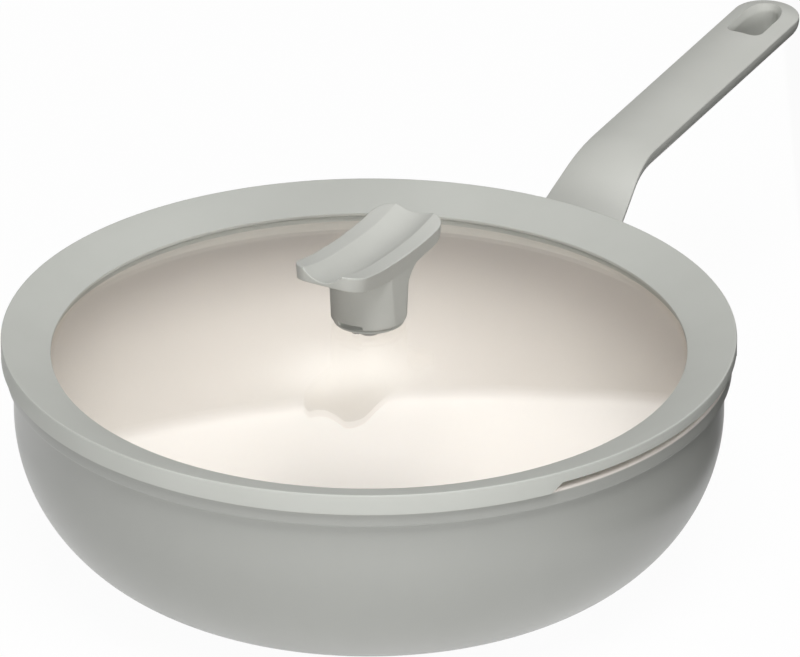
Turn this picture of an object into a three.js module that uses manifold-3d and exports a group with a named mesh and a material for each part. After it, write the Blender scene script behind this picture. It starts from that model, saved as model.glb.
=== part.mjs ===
// A deep wok pan with a lid: a pressed aluminium bowl with a screwed-on moulded handle, and a domed
// glass lid set in a silicone rim that has two pouring gaps and a spoon-rest knob.
// Millimetres, +Z up. The origin is the centre of the base underside and the handle points along +X.

import * as THREE from 'three';
import { mergeVertices } from 'three/addons/utils/BufferGeometryUtils.js';
import Module from 'manifold-3d';

const wasm = await Module();
wasm.setup();

// Fits that every piece shares
const SEAT_GAP = 0.3;          // between faces that rest on each other
const SHANK_PLAY = 0.3;        // round a screw's shank

// Pan bowl
const PAN_OUTER_R = 142.3;
const PAN_CORNER_R = 67.5;     // outside radius between the wall and the base
const PAN_WALL = 2.5;
const PAN_FLOOR = 4.5;
const RIM_TOP_Z = 90.8;
const RIM_BAND_H = 5.8;
const RIM_BAND_PROUD = 2.9;
const RIM_EDGE_R = 0.8;

// Steel disc let into the base for induction hobs
const DISC_R = 66;
const DISC_T = 1.2;

// Lid rim, a silicone ring that hangs over the pan's rim band and reaches into its mouth
const LID_OVERHANG = 1.8;      // beyond the rim band
const LID_SKIRT_H = 7.9;
const LID_RING_W = 19.8;
const LID_RING_DROP = 7.0;     // the top face falls inwards
const LID_LIP_T = 1.0;         // the lip's thickness over the glass
const LID_EDGE_R = 0.9;
const MOUTH_PLAY = 0.9;        // between the ring's plug and the pan wall
const PLUG_DEPTH = 6.3;        // below the pan's rim
const PLUG_CHAMFER = 2.4;
const PLUG_INSET = 1.2;        // the plug's inner face, behind the lip's edge

// Pouring gaps, one on each side of the handle
const POUR_HALF_ANGLE = 29.5;    // degrees, at the foot of the gap
const POUR_SLANT = 2;          // degrees that each end leans in
const POUR_H = 2.8;
const POUR_CHANNEL_W = 3.4;    // the channel up the plug's outer side

// Lid glass
const GLASS_T = 4;
const GLASS_IN_GROOVE = 5.5;
const DOME_RISE = 13.2;        // from the lip's edge to the middle
const GLASS_HOLE_R = 4.2;
const VENT_R = 2.2;
const VENT_X = -9;

// Knob
const KNOB_FOOT_R = 15.2;
const KNOB_TOP_R = 16.3;
const KNOB_FOOT_EDGE = 1.0;
const KNOB_FLAT = 14.8;        // half the width across the stem's two flats
const REST_HALF_L = 35.7;      // the spoon rest
const REST_HALF_W = 15.9;
const REST_CORNER_R = 9;
const REST_TOP_H = 29.7;       // lowest point of its edge above the foot
const REST_END_RISE = 4.2;     // the ends turn up
const REST_RISE_POWER = 2.6;
const REST_END_T = 6.2;
const REST_MID_T = 7.5;
const FLARE_R = 30;            // where the stem's far side runs out under the rest
const FLARE_DROP = 5.5;        // where that hollow curve leaves the stem, below the rest
const TROUGH_HALF_W = 8.9;
const TROUGH_DEPTH = 4.6;      // at the near end
const TROUGH_FAR_DEPTH = 2.2;
const MOUTH_W = 11;            // steam mouth in the foot
const MOUTH_H = 2.1;
const STEAM_ROOM_R = 12.4;     // hollow under the foot that the vent opens into
const STEAM_ROOM_H = 3.0;

// Knob fastening, from the top down
const INSERT_R = 5;
const INSERT_H = 13;
const INSERT_ABOVE_ROOM = 1;
const KNOB_SHANK_R = 2;
const KNOB_GASKET_R = 14.2;
const KNOB_GASKET_T = 1.1;
const GROMMET_R = 6.2;
const GROMMET_T = 0.9;
const SPIGOT_PLAY = 0.4;       // the grommet's spigot in the glass
const WASHER_R = 5.8;
const WASHER_T = 0.9;
const KNOB_HEAD_R = 4;
const KNOB_HEAD_H = 1.6;
const KNOB_THREAD_IN = 8;      // the screw's reach into the insert

// Handle, followed along the line of its top edges
const ROOT_DROP = 23.9;        // that line at the pan wall, below the rim
const ROOT_SLOPE = 35.6;       // degrees
const ROOT_RUN = 49.6;         // from the wall out to the bend
const BEND_R = 41.2;
const GRIP_SLOPE = 6.5;        // degrees
const GRIP_REACH = 141.2;      // from the bend to the tip
const ROOT_HALF_W = 20;
const GRIP_HALF_W = 14.74;
const WIDTH_BLEND_FROM = 11.5; // from the wall
const WIDTH_BLEND_TO = 59.7;
const TIP_L = 12.4;            // length of the rounded tip
const CROWN = 2.5;             // the top face's rise between its edges
const EDGE_WALL = 1.0;         // upright wall under each edge
const ROOT_DEPTH = 14.5;       // underside below the edges
const GRIP_DEPTH = 12;
const ROOT_SWELL = 1.5;        // power of the underside's curve, a bell at the root
const GRIP_SWELL = 0.5;        // and a half oval on the grip
const HANG_L = 29;
const HANG_HALF_W = 8.7;
const HANG_CORNER_R = 4.5;
const HANG_TO_TIP = 4.8;
const HANG_BEVEL = 1.9;        // the bevel round the hole's mouth
const HANG_BEVEL_H = 3.6;

// Handle bracket, welded to the pan, and its screw
const PAD_HALF_W = 7.5;
const PAD_H = 7;
const PAD_T = 4;
const PAD_BELOW_ROOT = 2.6;
const TONGUE_HALF_W = 6;
const TONGUE_T = 5;
const TONGUE_L = 36;
const TONGUE_DEPTH = 3.2;      // its top face below the edges
const SCREW_FROM_WALL = 25;    // along the root
const HANDLE_SHANK_R = 2.5;
const HANDLE_HEAD_R = 4.6;
const HANDLE_HEAD_H = 2.2;
const LOCK_WASHER_T = 0.8;
const SHOULDER_T = 2;          // plastic between the tongue and the washer
const SCREW_IN_TONGUE = 4.2;

// Facets
const ROUND = 72;
const SMALL_ROUND = 28;
const ARC_STEPS = 10;
const EDGE_STEPS = 2;          // round a small edge
const DOME_STEPS = 5;

// Levels and radii that follow from the sizes above
const rimOuterR = PAN_OUTER_R + RIM_BAND_PROUD;
const mouthR = PAN_OUTER_R - PAN_WALL;
const lidOuterR = rimOuterR + LID_OVERHANG;
const lidSeatZ = RIM_TOP_Z + SEAT_GAP;
const lidTopZ = lidSeatZ + LID_SKIRT_H;
const lipR = lidOuterR - LID_RING_W;
const lipTopZ = lidTopZ - LID_RING_DROP;
const glassEdgeR = lipR + GLASS_IN_GROOVE;
const domeR = (lipR ** 2 + DOME_RISE ** 2) / (2 * DOME_RISE);
const glassTopZ = lipTopZ - LID_LIP_T - SEAT_GAP + DOME_RISE;
const gasketZ = glassTopZ + SEAT_GAP;
const footZ = gasketZ + KNOB_GASKET_T + SEAT_GAP;
const grommetTopZ = glassTopZ - GLASS_T - SEAT_GAP;
const washerTopZ = grommetTopZ - GROMMET_T - SEAT_GAP;
const headTopZ = washerTopZ - WASHER_T - SEAT_GAP;
const insertZ = footZ + STEAM_ROOM_H + INSERT_ABOVE_ROOM;
const bracketHoleR = HANDLE_SHANK_R + SHANK_PLAY;
const knobHoleR = KNOB_SHANK_R + SHANK_PLAY;

const radians = THREE.MathUtils.degToRad;
const vec = (x, y) => new THREE.Vector2(x, y);

// Points of an arc about (cx, cy), between two angles in degrees
function arc(cx, cy, r, from, to, steps = ARC_STEPS) {
  return Array.from({ length: steps + 1 }, (_, i) => {
    const a = radians(from + (to - from) * i / steps);
    return vec(cx + r * Math.cos(a), cy + r * Math.sin(a));
  });
}

// A closed geometry with shared corners, no empty triangles and its faces pointing out
function closed(geometry) {
  const bare = new THREE.BufferGeometry();
  bare.setAttribute('position', geometry.getAttribute('position').clone());
  bare.setIndex(geometry.getIndex());
  const merged = mergeVertices(bare, 1e-4);
  const p = merged.getAttribute('position');
  const corner = (i) => new THREE.Vector3().fromBufferAttribute(p, i);
  const old = merged.getIndex().array;
  const faces = [];
  let volume = 0;
  for (let t = 0; t < old.length; t += 3) {
    const [a, b, c] = old.slice(t, t + 3);
    if (a === b || b === c || c === a) continue;
    faces.push([a, b, c]);
    volume += corner(a).dot(corner(b).cross(corner(c)));
  }
  merged.setIndex(faces.flatMap(([a, b, c]) => (volume < 0 ? [a, c, b] : [a, b, c])));
  return merged;
}

function solid(geometry) {
  const shell = closed(geometry);
  return new wasm.Manifold(new wasm.Mesh({
    numProp: 3,
    vertProperties: new Float32Array(shell.getAttribute('position').array),
    triVerts: new Uint32Array(shell.getIndex().array),
  }));
}

function geometryOf(manifold) {
  const mesh = manifold.getMesh();
  const geometry = new THREE.BufferGeometry();
  geometry.setAttribute('position', new THREE.BufferAttribute(new Float32Array(mesh.vertProperties), 3));
  geometry.setIndex(new THREE.BufferAttribute(new Uint32Array(mesh.triVerts), 1));
  return geometry;
}

// A profile of radius and height turned round the Z axis
function turned(profile, segments = ROUND) {
  return solid(new THREE.LatheGeometry(profile, segments).rotateX(Math.PI / 2));
}

// A round bar along Z, with a hole if its inner radius isn't 0
function round(r, z0, z1, inner = 0, segments = SMALL_ROUND) {
  const ring = [vec(inner, z0), vec(r, z0), vec(r, z1), vec(inner, z1)];
  return turned(inner ? [...ring, ring[0]] : ring, segments);
}

function box(x0, x1, y0, y1, z0, z1) {
  const block = new THREE.BoxGeometry(x1 - x0, y1 - y0, z1 - z0);
  return solid(block.translate((x0 + x1) / 2, (y0 + y1) / 2, (z0 + z1) / 2));
}

// An outline in the XZ plane, drawn out to both sides of it
function sideways(points, halfWidth) {
  const options = { depth: 2 * halfWidth, bevelEnabled: false };
  const slab = new THREE.ExtrudeGeometry(new THREE.Shape(points), options);
  return solid(slab.rotateX(Math.PI / 2).translate(0, halfWidth, 0));
}

// Rings of equally many points, skinned one to the next and capped at both ends
function loft(rings) {
  const count = rings[0].length;
  const middle = (ring) => ring.reduce((sum, p) => sum.add(p), new THREE.Vector3()).divideScalar(count);
  const points = [...rings.flat(), middle(rings[0]), middle(rings.at(-1))];
  const index = [];
  for (let i = 0; i + 1 < rings.length; i++) {
    for (let j = 0; j < count; j++) {
      const [a, b] = [i * count + j, i * count + (j + 1) % count];
      index.push(a, b, b + count, a, b + count, a + count);
    }
  }
  const last = (rings.length - 1) * count;
  for (let j = 0; j < count; j++) {
    const next = (j + 1) % count;
    index.push(next, j, points.length - 2, last + j, last + next, points.length - 1);
  }
  return solid(new THREE.BufferGeometry().setFromPoints(points).setIndex(index));
}

const moved = (manifold, matrix) => manifold.transform(matrix.elements);

// The bowl's outer skin from the axis up to the rim, grown outwards for a neighbour's clearance
function panSkin(grow = 0) {
  const r = PAN_OUTER_R + grow;
  const corner = PAN_CORNER_R + grow;
  return [vec(0, -grow), ...arc(PAN_OUTER_R - PAN_CORNER_R, PAN_CORNER_R, corner, -90, 0),
    vec(r, RIM_TOP_Z - RIM_BAND_H)];
}

function panBody() {
  const innerCorner = PAN_CORNER_R - PAN_WALL;
  const bandZ = RIM_TOP_Z - RIM_BAND_H;
  const skin = panSkin();
  return turned([
    vec(0, DISC_T + SEAT_GAP), vec(DISC_R + SEAT_GAP, DISC_T + SEAT_GAP), vec(DISC_R + SEAT_GAP, 0),
    ...skin.slice(1),
    ...arc(rimOuterR - RIM_EDGE_R, bandZ + RIM_EDGE_R, RIM_EDGE_R, -90, 0, EDGE_STEPS),
    ...arc(rimOuterR - RIM_EDGE_R, RIM_TOP_Z - RIM_EDGE_R, RIM_EDGE_R, 0, 90, EDGE_STEPS),
    ...arc(mouthR + RIM_EDGE_R, RIM_TOP_Z - RIM_EDGE_R, RIM_EDGE_R, 90, 180, EDGE_STEPS),
    ...arc(mouthR - innerCorner, PAN_FLOOR + innerCorner, innerCorner, 0, -90),
    vec(0, PAN_FLOOR),
  ]);
}

// The glass follows a sphere, so its faces are arcs about one centre on the axis
function lidGlass() {
  const centreZ = glassTopZ - domeR;
  const face = (r, out) => vec(out, centreZ + Math.sqrt(r ** 2 - out ** 2));
  const outs = Array.from({ length: DOME_STEPS + 1 }, (_, i) => (
    GLASS_HOLE_R + (glassEdgeR - GLASS_HOLE_R) * i / DOME_STEPS));
  const top = outs.map((out) => face(domeR, out));
  const under = outs.map((out) => face(domeR - GLASS_T, out)).reverse();
  const dome = turned([...top, ...under, top[0]]);
  const vent = round(VENT_R, glassTopZ - 3 * GLASS_T, glassTopZ + GLASS_T).translate(VENT_X, 0, 0);
  return dome.subtract(vent);
}

function lidRim() {
  const centreZ = glassTopZ - domeR;
  const grooveZ = (out, r) => centreZ + Math.sqrt(r ** 2 - out ** 2);
  const grooveR = glassEdgeR + SEAT_GAP;
  const overGlass = domeR + SEAT_GAP;
  const underGlass = domeR - GLASS_T - SEAT_GAP;
  const plugInR = lipR + PLUG_INSET;
  const plugOutR = mouthR - MOUTH_PLAY;
  const plugZ = RIM_TOP_Z - PLUG_DEPTH;
  const start = vec(lipR, grooveZ(lipR, overGlass));
  const ring = turned([
    start, vec(grooveR, grooveZ(grooveR, overGlass)), vec(grooveR, grooveZ(grooveR, underGlass)),
    vec(plugInR, grooveZ(plugInR, underGlass)), vec(plugInR, plugZ),
    vec(plugOutR - PLUG_CHAMFER, plugZ), vec(plugOutR, plugZ + PLUG_CHAMFER), vec(plugOutR, lidSeatZ),
    vec(lidOuterR, lidSeatZ),
    ...arc(lidOuterR - LID_EDGE_R, lidTopZ - LID_EDGE_R, LID_EDGE_R, 0, 90, EDGE_STEPS),
    vec(lipR, lipTopZ), start,
  ]);
  return pourSides().reduce((body, side) => body.subtract(side), ring);
}

// What each pouring gap takes out: a wedge through the skirt and a channel up the plug, with leaning ends
function pourSides() {
  const wedge = (halfAngle, r) => [vec(0, 0), ...arc(0, 0, r, -halfAngle, halfAngle, 2 * ARC_STEPS)];
  const reach = lidOuterR + LID_OVERHANG;
  const foot = RIM_TOP_Z - PLUG_DEPTH - LID_SKIRT_H;
  const top = lidSeatZ + POUR_H;
  const channelR = mouthR - MOUTH_PLAY - POUR_CHANNEL_W;
  const atLevel = (halfAngle, z) => wedge(halfAngle, reach).map((p) => new THREE.Vector3(p.x, p.y, z));
  const leaning = loft([atLevel(POUR_HALF_ANGLE, foot), atLevel(POUR_HALF_ANGLE, lidSeatZ),
    atLevel(POUR_HALF_ANGLE - POUR_SLANT, top)]);
  const gap = leaning.subtract(round(channelR, foot - 1, top + 1, 0, ROUND));
  return [90, -90].map((turn) => gap.rotate([0, 0, turn]));
}

// The rest's top edge along X: level over the stem, with its ends turned up
function restEdge(x) {
  return footZ + REST_TOP_H + REST_END_RISE * Math.abs(x / REST_HALF_L) ** REST_RISE_POWER;
}

function restUnder(x) {
  return restEdge(x) - REST_MID_T + (REST_MID_T - REST_END_T) * (x / REST_HALF_L) ** 2;
}

function lidKnob() {
  const xs = Array.from({ length: 2 * ARC_STEPS + 1 }, (_, i) => REST_HALF_L * (i / ARC_STEPS - 1));
  const edge = xs.map((x) => vec(x, restEdge(x)));
  const under = xs.map((x) => vec(x, restUnder(x))).reverse();
  const [l, w, r] = [REST_HALF_L, REST_HALF_W, REST_CORNER_R];
  const plan = [...arc(l - r, w - r, r, 0, 90, 6), ...arc(r - l, w - r, r, 90, 180, 6),
    ...arc(r - l, r - w, r, 180, 270, 6), ...arc(l - r, r - w, r, 270, 360, 6)];
  // The sides lean in below the top edge, down to the stem's flats
  const atLevel = (width, z) => plan.map((p) => new THREE.Vector3(p.x, p.y * width / w, z));
  const outline = loft([atLevel(KNOB_FLAT, footZ), atLevel(KNOB_FLAT, restUnder(0)),
    atLevel(w, restEdge(0)), atLevel(w, footZ + 2 * REST_TOP_H)]);
  const rest = outline.intersect(sideways([...edge, ...under], 2 * w));

  const stemTop = footZ + REST_TOP_H - REST_MID_T / 2;
  const stem = turned([vec(0, footZ), vec(KNOB_FOOT_R - KNOB_FOOT_EDGE, footZ),
    vec(KNOB_FOOT_R, footZ + KNOB_FOOT_EDGE), vec(KNOB_TOP_R, stemTop), vec(0, stemTop)], 2 * SMALL_ROUND);
  const flats = box(-2 * l, 2 * l, -KNOB_FLAT, KNOB_FLAT, footZ - 1, stemTop + 1);

  // On the far side the stem runs out under the rest with a hollow curve, a quarter oval in section
  const flareZ = restUnder(0) - FLARE_DROP;
  const flareTop = restUnder(FLARE_R);
  const hollow = arc(0, 0, 1, 180, 90, 6).map((p) => (
    vec(FLARE_R + (FLARE_R - KNOB_TOP_R) * p.x, flareZ + (flareTop - flareZ) * p.y)));
  const farSide = box(0, 2 * l, -KNOB_FLAT, KNOB_FLAT, footZ, flareTop + 1);
  const flare = turned([vec(0, flareZ), ...hollow, vec(0, flareTop)], 2 * SMALL_ROUND).intersect(farSide);

  // The trough is a round scoop that follows the edge and grows shallow towards the far end
  const scoop = loft([-1.2, ...xs.map((x) => x / l), 1.2].map((u) => {
    const depth = THREE.MathUtils.lerp(TROUGH_DEPTH, TROUGH_FAR_DEPTH, (u + 1) / 2);
    const scoopR = (TROUGH_HALF_W ** 2 + depth ** 2) / (2 * depth);
    const ring = arc(0, restEdge(u * l) + scoopR - depth, scoopR, 0, 360, 3 * ARC_STEPS).slice(1);
    return ring.map((p) => new THREE.Vector3(u * l, p.x, p.y));
  }));

  const steamRoom = round(STEAM_ROOM_R, footZ - 1, footZ + STEAM_ROOM_H);
  const mouth = box(-2 * l, 0, -MOUTH_W / 2, MOUTH_W / 2, footZ - 1, footZ + MOUTH_H);
  const post = round(INSERT_R + 2 * SEAT_GAP + 1, footZ, footZ + STEAM_ROOM_H + 1);
  const insertRoom = round(INSERT_R + SEAT_GAP, footZ - 1, insertZ + INSERT_H + SEAT_GAP);
  return stem.intersect(flats).add(flare).add(rest).subtract(scoop)
    .subtract(steamRoom).subtract(mouth).add(post).subtract(insertRoom);
}

const knobInsert = () => round(INSERT_R, insertZ, insertZ + INSERT_H, knobHoleR);

function knobGasket() {
  const disc = round(KNOB_GASKET_R, gasketZ, gasketZ + KNOB_GASKET_T, knobHoleR, 2 * SMALL_ROUND);
  return disc.subtract(round(VENT_R, gasketZ - 1, gasketZ + 2 * KNOB_GASKET_T).translate(VENT_X, 0, 0));
}

// A flanged bush: the flange lies under the glass and the spigot centres the screw in its hole
function knobGrommet() {
  const spigotR = GLASS_HOLE_R - SPIGOT_PLAY;
  const spigotTop = glassTopZ - SEAT_GAP;
  const flange = round(GROMMET_R, grommetTopZ - GROMMET_T, grommetTopZ, knobHoleR);
  return flange.add(round(spigotR, grommetTopZ - GROMMET_T, spigotTop, knobHoleR));
}

const knobWasher = () => round(WASHER_R, washerTopZ - WASHER_T, washerTopZ, knobHoleR);

// A domed head under a plain shank, pointing up, with its seat at z = 0
function screw(shankR, shankL, headR, headH) {
  const crown = arc(0, 0, 1, -90, 0, 4).map((p) => vec(headR * p.x, headH * (p.y - 1) / 2));
  const shank = [vec(shankR, 0), vec(shankR, shankL), vec(0, shankL)];
  return turned([...crown, vec(headR, 0), ...shank], SMALL_ROUND);
}

const knobScrew = () => screw(KNOB_SHANK_R, insertZ + KNOB_THREAD_IN - headTopZ, KNOB_HEAD_R, KNOB_HEAD_H)
  .translate(0, 0, headTopZ);

// The handle's line, with its distance along it: root, bend and grip
const rootA = radians(ROOT_SLOPE);
const gripA = radians(GRIP_SLOPE);
const rootPoint = vec(PAN_OUTER_R, RIM_TOP_Z - ROOT_DROP);
const bendPoint = vec(PAN_OUTER_R + ROOT_RUN, rootPoint.y + ROOT_RUN * Math.tan(rootA));
const bendBack = BEND_R * Math.tan((rootA - gripA) / 2);

// A frame on that line: x along it, y across the handle, z out of its top face
function frameAt(point, slope) {
  return new THREE.Matrix4().makeRotationY(-slope).setPosition(point.x, 0, point.y);
}

const rootFrame = frameAt(rootPoint, rootA);
const gripFrame = frameAt(bendPoint, gripA);

function handleStations() {
  const straight = (point, slope, from, to, steps) => Array.from({ length: steps + 1 }, (_, i) => {
    const s = from + (to - from) * i / steps;
    return { point: vec(point.x + s * Math.cos(slope), point.y + s * Math.sin(slope)), slope };
  });
  const rootL = ROOT_RUN / Math.cos(rootA) - bendBack;
  const root = straight(rootPoint, rootA, -TONGUE_DEPTH - ROOT_DEPTH, rootL, 5);
  const centre = vec(bendPoint.x + bendBack * Math.cos(gripA) + BEND_R * Math.sin(gripA),
    bendPoint.y + bendBack * Math.sin(gripA) - BEND_R * Math.cos(gripA));
  const bend = arc(centre.x, centre.y, BEND_R, 90 + ROOT_SLOPE, 90 + GRIP_SLOPE, 6).slice(1, -1)
    .map((point) => ({ point, slope: Math.atan2(point.y - centre.y, point.x - centre.x) - Math.PI / 2 }));
  const grip = straight(bendPoint, gripA, bendBack, GRIP_REACH - TIP_L, 5);
  const tip = arc(0, 0, 1, 90, 6, 7).slice(1).map((p) => {
    const s = GRIP_REACH - TIP_L + TIP_L * p.x;
    return { ...straight(bendPoint, gripA, s, s, 1)[0], narrow: p.y };
  });
  return [...root, ...bend, ...grip, ...tip];
}

// One section of the handle: crowned top, short upright edges and a swelling underside
function handleSection({ point, slope, narrow = 1 }) {
  const out = point.x - PAN_OUTER_R;
  const blend = THREE.MathUtils.smoothstep(out, WIDTH_BLEND_FROM, WIDTH_BLEND_TO);
  const w = THREE.MathUtils.lerp(ROOT_HALF_W, GRIP_HALF_W, blend) * narrow;
  const belly = (THREE.MathUtils.lerp(ROOT_DEPTH, GRIP_DEPTH, blend) - EDGE_WALL) * Math.sqrt(narrow);
  const steps = 8;
  const top = Array.from({ length: steps + 1 }, (_, i) => {
    const u = 1 - 2 * i / steps;
    return vec(w * u, CROWN * narrow ** 2 * (1 - u * u));
  });
  const swell = THREE.MathUtils.lerp(ROOT_SWELL, GRIP_SWELL, blend);
  const bottom = arc(0, 0, 1, 180, 360, 10).map((p) => (
    vec(w * p.x, -EDGE_WALL - belly * (p.y * p.y) ** swell)));
  const frame = frameAt(point, slope);
  return [...top, ...bottom].map((p) => new THREE.Vector3(0, p.x, p.y).applyMatrix4(frame));
}

// The hanging hole: squared towards the pan, rounded towards the tip, with a bevelled mouth
function hangOutline(inset, z) {
  const w = HANG_HALF_W - inset;
  const end = GRIP_REACH - HANG_TO_TIP - inset;
  const start = GRIP_REACH - HANG_TO_TIP - HANG_L + inset;
  const r = HANG_CORNER_R;
  const far = arc(0, 0, 1, -90, 90, 10).map((p) => vec(end - TIP_L + TIP_L * p.x, w * p.y));
  const near = [...arc(start + r, w - r, r, 90, 180, 4), ...arc(start + r, r - w, r, 180, 270, 4)];
  return [...far, ...near].map((p) => new THREE.Vector3(p.x, p.y, z));
}

function handleGrip() {
  const body = loft(handleStations().map(handleSection));
  const low = -2 * ROOT_DEPTH;
  const high = 2 * CROWN;
  const bevelFoot = CROWN - HANG_BEVEL_H;
  const hole = loft([hangOutline(HANG_BEVEL, low), hangOutline(HANG_BEVEL, bevelFoot),
    hangOutline(HANG_BEVEL * (CROWN - high) / HANG_BEVEL_H, high)]);
  const pan = turned([...panSkin(SEAT_GAP), vec(PAN_OUTER_R + SEAT_GAP, 2 * RIM_TOP_Z),
    vec(0, 2 * RIM_TOP_Z)]);
  return body.subtract(moved(hole, gripFrame)).subtract(pan).subtract(padBlock(SEAT_GAP))
    .subtract(moved(tongueBar(SEAT_GAP), rootFrame)).subtract(moved(screwRoom(), rootFrame));
}

// The bracket's two members, grown for the pocket that the handle has round them
function padBlock(grow = 0) {
  const top = rootPoint.y - PAD_BELOW_ROOT;
  return box(PAN_OUTER_R - PAN_CORNER_R, PAN_OUTER_R + PAD_T + grow, -PAD_HALF_W - grow, PAD_HALF_W + grow,
    top - PAD_H - grow, top + grow);
}

function tongueBar(grow = 0) {
  return box(-TONGUE_L, TONGUE_L + grow, -TONGUE_HALF_W - grow, TONGUE_HALF_W + grow,
    -TONGUE_DEPTH - TONGUE_T - grow, -TONGUE_DEPTH + grow);
}

const shoulderZ = -TONGUE_DEPTH - TONGUE_T - SEAT_GAP - SHOULDER_T;
const screwSeatZ = shoulderZ - SEAT_GAP - LOCK_WASHER_T - SEAT_GAP;

function screwRoom() {
  const shankHole = round(bracketHoleR, shoulderZ - 1, -TONGUE_DEPTH - 1);
  const headRoom = round(HANDLE_HEAD_R + 2 * SEAT_GAP, -3 * ROOT_DEPTH, shoulderZ);
  return shankHole.add(headRoom).translate(SCREW_FROM_WALL, 0, 0);
}

function handleBracket() {
  const pan = turned([...panSkin(SEAT_GAP), vec(PAN_OUTER_R + SEAT_GAP, RIM_TOP_Z), vec(0, RIM_TOP_Z)]);
  const hole = round(bracketHoleR, -2 * ROOT_DEPTH, TONGUE_T).translate(SCREW_FROM_WALL, 0, 0);
  return padBlock().add(moved(tongueBar(), rootFrame)).subtract(pan).subtract(moved(hole, rootFrame));
}

const atScrew = (manifold, z) => moved(manifold.translate(SCREW_FROM_WALL, 0, z), rootFrame);
const screwReach = -TONGUE_DEPTH - TONGUE_T + SCREW_IN_TONGUE - screwSeatZ;
const handleScrew = () => (
  atScrew(screw(HANDLE_SHANK_R, screwReach, HANDLE_HEAD_R, HANDLE_HEAD_H), screwSeatZ));
const lockWasher = () => (
  atScrew(round(HANDLE_HEAD_R, 0, LOCK_WASHER_T, bracketHoleR), screwSeatZ + SEAT_GAP));

const baseDisc = () => round(DISC_R, 0, DISC_T, 0, ROUND);

const finish = (color, roughness, metalness = 0, extra = {}) => (
  new THREE.MeshStandardMaterial({ color, roughness, metalness, ...extra }));
const coated = finish(0xb4b5b0, 0.55, 0.1);
const moulded = finish(0xc2c3bd, 0.6);
const silicone = finish(0xbfc0ba, 0.7);
const steel = finish(0xb8babc, 0.35, 0.9);
const castAluminium = finish(0xa9abac, 0.5, 0.8);
const brass = finish(0xb99a55, 0.4, 0.9);
const clearGlass = finish(0xe6ece8, 0.05, 0, { transparent: true, opacity: 0.35 });

const pieces = [
  ['pan_body', panBody, coated],
  ['induction_disc', baseDisc, steel],
  ['handle_bracket', handleBracket, castAluminium],
  ['handle_grip', handleGrip, moulded],
  ['handle_screw', handleScrew, steel],
  ['handle_lock_washer', lockWasher, steel],
  ['lid_rim', lidRim, silicone],
  ['lid_glass', lidGlass, clearGlass],
  ['lid_knob', lidKnob, moulded],
  ['knob_insert', knobInsert, brass],
  ['knob_gasket', knobGasket, silicone],
  ['knob_grommet', knobGrommet, silicone],
  ['knob_washer', knobWasher, steel],
  ['knob_screw', knobScrew, steel],
];

const wok = new THREE.Group();
for (const [name, make, material] of pieces) {
  const mesh = new THREE.Mesh(geometryOf(make()), material);
  mesh.name = name;
  wok.add(mesh);
}

export default wok;
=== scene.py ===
# %% [markdown]
# # A lidded wok pan, dressed around its CAD frame
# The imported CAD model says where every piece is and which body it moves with. In this lesson each
# piece that the eye meets gets a smooth surface worked out with numpy, and every finish is made of
# shader nodes. The frame comes first, because all later sizes are read from it or added to it.

# %% Load the frame
import math

import bmesh
import bpy
import numpy as np
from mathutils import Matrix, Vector


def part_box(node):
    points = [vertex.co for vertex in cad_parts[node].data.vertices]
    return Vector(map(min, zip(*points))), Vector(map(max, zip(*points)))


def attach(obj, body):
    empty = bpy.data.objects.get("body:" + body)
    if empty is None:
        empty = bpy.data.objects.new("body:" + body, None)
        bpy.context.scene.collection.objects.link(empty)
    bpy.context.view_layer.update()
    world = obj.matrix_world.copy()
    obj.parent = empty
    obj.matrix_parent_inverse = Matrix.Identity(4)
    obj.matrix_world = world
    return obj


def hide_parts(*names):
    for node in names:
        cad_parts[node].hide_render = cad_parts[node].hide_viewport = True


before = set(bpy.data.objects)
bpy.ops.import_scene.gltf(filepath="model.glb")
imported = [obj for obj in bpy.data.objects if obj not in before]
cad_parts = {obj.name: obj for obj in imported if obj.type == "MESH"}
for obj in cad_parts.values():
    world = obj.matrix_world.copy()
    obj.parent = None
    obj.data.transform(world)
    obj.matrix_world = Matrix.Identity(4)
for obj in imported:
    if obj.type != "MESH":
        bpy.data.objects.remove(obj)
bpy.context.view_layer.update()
MM = 0.001

# %% [markdown]
# ## Sizes
# Outer sizes come from the boxes of the CAD nodes, so the dressed pan follows the frame. What a box
# can't say, such as a wall or a groove, is a named size where it is used, in metres through MM. FIT is
# the play between pieces, SHARP the angle from which an edge shows as an edge, in degrees, and points
# closer than MERGE become one.

# %% Sizes read from the frame
rim_r, rim_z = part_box("pan_body")[1].x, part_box("pan_body")[1].z
disc_r, disc_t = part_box("induction_disc")[1].x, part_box("induction_disc")[1].z
lid_r, lid_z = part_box("lid_rim")[1].x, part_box("lid_rim")[1].z
plug_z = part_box("lid_rim")[0].z
glass_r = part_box("lid_glass")[1].x
rest_l, rest_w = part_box("lid_knob")[1].x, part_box("lid_knob")[1].y
foot_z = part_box("lid_knob")[0].z
seal_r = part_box("knob_gasket")[1].x
FIT, SHARP = 0.3 * MM, 32.0
MERGE, SLIVER = 1e-6, 1e-7
print("rim radius %.1f mm, lid radius %.1f mm, knob foot at %.1f mm"
      % (rim_r / MM, lid_r / MM, foot_z / MM))

# %% [markdown]
# ## From arrays to pieces
# A surface is an array of points in rows and columns. Its faces follow from the counts alone, so they
# are worked out for the whole grid at once. Rows or columns that meet themselves are wrapped, ends
# are closed with one flat face or run together in a pole, and the signed volume of the closed shell
# says whether the faces point outwards.


# %% Grid faces and pieces
def grid_faces(rows, columns, wrap_rows=False):
    """Quads between neighbours in a grid whose columns close round; point (i, j) is i * columns + j."""
    i, j = np.meshgrid(np.arange(rows if wrap_rows else rows - 1), np.arange(columns), indexing="ij")
    below, beside = (i + 1) % rows, (j + 1) % columns
    quads = [i * columns + j, i * columns + beside, below * columns + beside, below * columns + j]
    return np.stack(quads, -1).reshape(-1, 4)


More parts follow.
